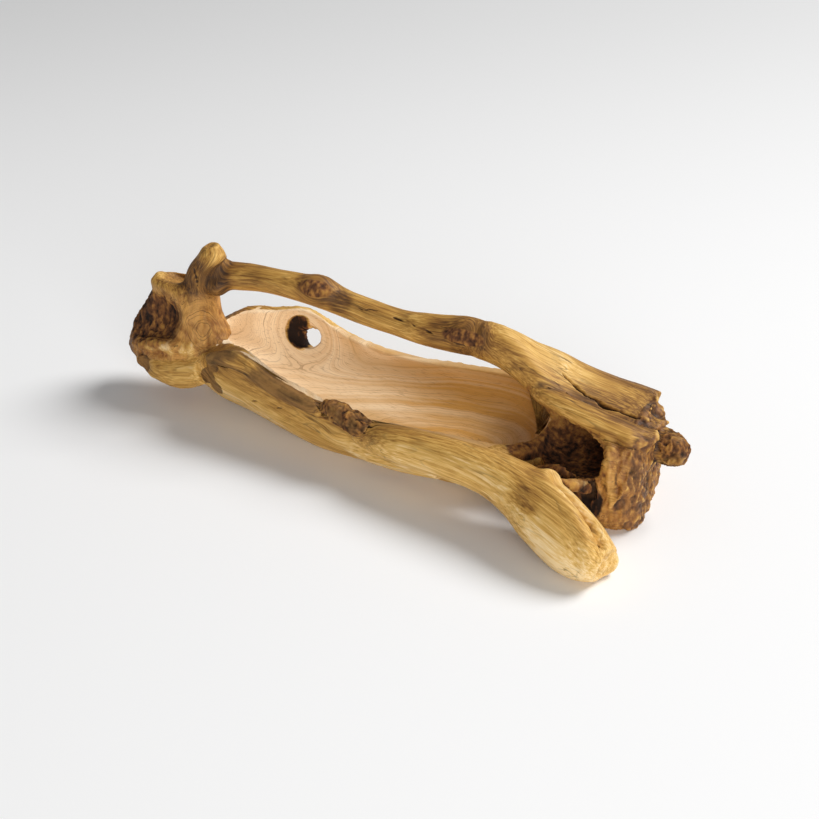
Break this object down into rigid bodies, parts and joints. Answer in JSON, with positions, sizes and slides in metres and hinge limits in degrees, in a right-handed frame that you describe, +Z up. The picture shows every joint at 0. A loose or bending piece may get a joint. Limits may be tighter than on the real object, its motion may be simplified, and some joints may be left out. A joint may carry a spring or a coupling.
{
  "type": "carved root bowl",
  "caption": "Long trough-shaped bowl carved from a hollow root, with a natural limb arched over it as a carrying handle, a broken log end and a root foot.",
  "frame": {"origin": "on the flat that the bowl's belly rests on, near the middle of the flat, at ground level", "axes": "+X along the bowl from the burl end to the broken log end, +Y away from the side with the foot, +Z up"},
  "size_m": [0.642, 0.2376, 0.184],
  "materials": {
    "carved_wood": "hand carved, sanded and lightly oiled",
    "weathered_root": "weathered and brushed, bare",
    "rotten_heartwood": "rough, dark and crumbly",
    "bark_crust": "rough old bark"
  },
  "bodies": {
    "root": {"carved_bowl": "carved_wood", "log_shell": "rotten_heartwood", "log_roof": "weathered_root", "log_strand": "weathered_root", "left_burl": "weathered_root", "branch_stub": "weathered_root", "handle_limb": "weathered_root", "burl_flake": "weathered_root", "front_root": "weathered_root", "belly_root": "weathered_root", "rim_gnarl": "bark_crust", "rim_bark": "bark_crust", "end_nodule": "bark_crust", "heartwood_ledge": "rotten_heartwood", "torn_splinter": "weathered_root"}
  },
  "joints": []
}
